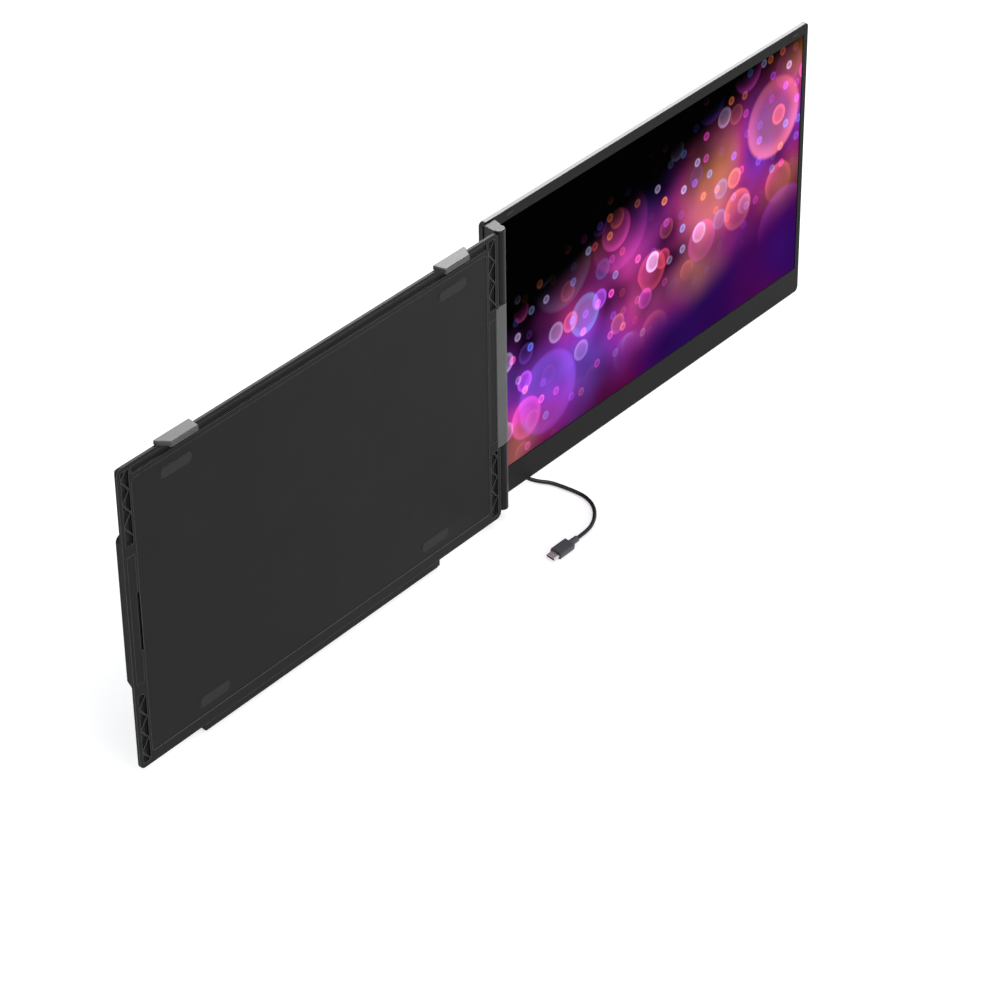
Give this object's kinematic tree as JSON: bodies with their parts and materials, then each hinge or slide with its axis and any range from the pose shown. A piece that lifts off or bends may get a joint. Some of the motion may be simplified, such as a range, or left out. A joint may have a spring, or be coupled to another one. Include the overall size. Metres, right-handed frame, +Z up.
{
  "type": "laptop screen extender",
  "caption": "Second screen on a torque hinge beside a bracket plate that hooks over a laptop lid, with a fold-out rear stand and a short cable.",
  "frame": {"origin": "on the table plane, under the middle of the bracket's bottom front edge; the heel pad rests on z = 0", "axes": "+X along the bracket towards the monitor, +Y away from the user behind the screens, +Z up"},
  "size_m": [0.8063, 0.1538, 0.2577],
  "materials": {
    "bracket_plastic": "fine-textured dark grey",
    "cover_plastic": "fine-textured dark grey",
    "clip_metal": "satin light grey paint",
    "block_metal": "satin mid grey paint",
    "arm_metal": "satin dark grey paint",
    "steel": "turned",
    "black_steel": "black oxide",
    "rubber": "matt",
    "shell_metal": "bead-blasted, diamond-cut edge",
    "bezel_plastic": "matt black",
    "display": "glossy display with a lit picture",
    "backlight": "sheet",
    "rear_plastic": "fine-textured dark grey",
    "board": "solder-masked board",
    "cable_jacket": "smooth matt PVC",
    "plug_plastic": "moulded",
    "button_plastic": "satin"
  },
  "bodies": {
    "bracket": {"bracket_back_cover": "cover_plastic", "bracket_frame": "bracket_plastic", "clip_left_spring_roll": "steel", "clip_right_spring_roll": "steel", "cover_screws": "black_steel", "heel_pad": "rubber", "hinge_block": "block_metal", "hinge_block_screws": "steel", "lid_pad_1": "rubber", "lid_pad_2": "rubber", "lid_pad_3": "rubber", "lid_pad_4": "rubber", "torque_shaft_lower": "steel", "torque_shaft_upper": "steel"},
    "left_clip": {"clip_left_hook": "clip_metal", "clip_left_pad": "rubber"},
    "right_clip": {"clip_right_hook": "clip_metal", "clip_right_pad": "rubber"},
    "stand": {"stand_leaf": "cover_plastic", "stand_foot": "rubber", "stand_pin_left": "steel", "stand_pin_right": "steel"},
    "monitor": {"hinge_arm": "arm_metal", "hinge_arm_screws": "black_steel", "monitor_shell": "shell_metal", "monitor_bezel": "bezel_plastic", "display_panel": "display", "backlight_plate": "backlight", "bezel_bumper_1": "rubber", "bezel_bumper_2": "rubber", "rear_cover": "rear_plastic", "rear_cover_screws": "black_steel", "controller_board": "board", "usb_c_port_1": "steel", "usb_c_port_2": "steel", "mini_hdmi_port": "steel", "speaker_left": "plug_plastic", "speaker_right": "plug_plastic", "switch_strip": "board", "monitor_plug_shell": "steel", "monitor_plug_overmould": "plug_plastic", "monitor_plug_relief": "plug_plastic", "cable_tube": "cable_jacket", "laptop_plug_relief": "plug_plastic", "laptop_plug_overmould": "plug_plastic", "laptop_plug_shell": "steel"},
    "button_plus": {"button_plus": "button_plastic"},
    "button_minus": {"button_minus": "button_plastic"},
    "button_menu": {"button_menu": "button_plastic"}
  },
  "joints": [
    {"name": "monitor_hinge", "type": "hinge", "parent": "bracket", "child": "monitor", "pos_m": [0.2051, 0.00014, 0.00932], "axis": [0, -0.1865, -0.9825], "range_deg": [-30, 176]},
    {"name": "left_clip_slide", "type": "slide", "parent": "bracket", "child": "left_clip", "axis": [0, 0.1865, 0.9825], "range_m": [0, 0.025], "stiffness_N_per_m": 200, "springref_m": -0.03},
    {"name": "right_clip_slide", "type": "slide", "parent": "bracket", "child": "right_clip", "axis": [0, 0.1865, 0.9825], "range_m": [0, 0.025], "stiffness_N_per_m": 200, "springref_m": -0.03},
    {"name": "stand_fold", "type": "hinge", "parent": "bracket", "child": "stand", "pos_m": [0, 0.01593, 0.07961], "axis": [1, 0, 0], "range_deg": [0, 125.1]},
    {"name": "button_plus_press", "type": "slide", "parent": "monitor", "child": "button_plus", "axis": [-1, 0, 0], "range_m": [0, 0.0004], "stiffness_N_per_m": 600, "springref_m": -0.0005},
    {"name": "button_minus_press", "type": "slide", "parent": "monitor", "child": "button_minus", "axis": [-1, 0, 0], "range_m": [0, 0.0004], "stiffness_N_per_m": 600, "springref_m": -0.0005},
    {"name": "button_menu_press", "type": "slide", "parent": "monitor", "child": "button_menu", "axis": [-1, 0, 0], "range_m": [0, 0.0004], "stiffness_N_per_m": 600, "springref_m": -0.0005}
  ]
}
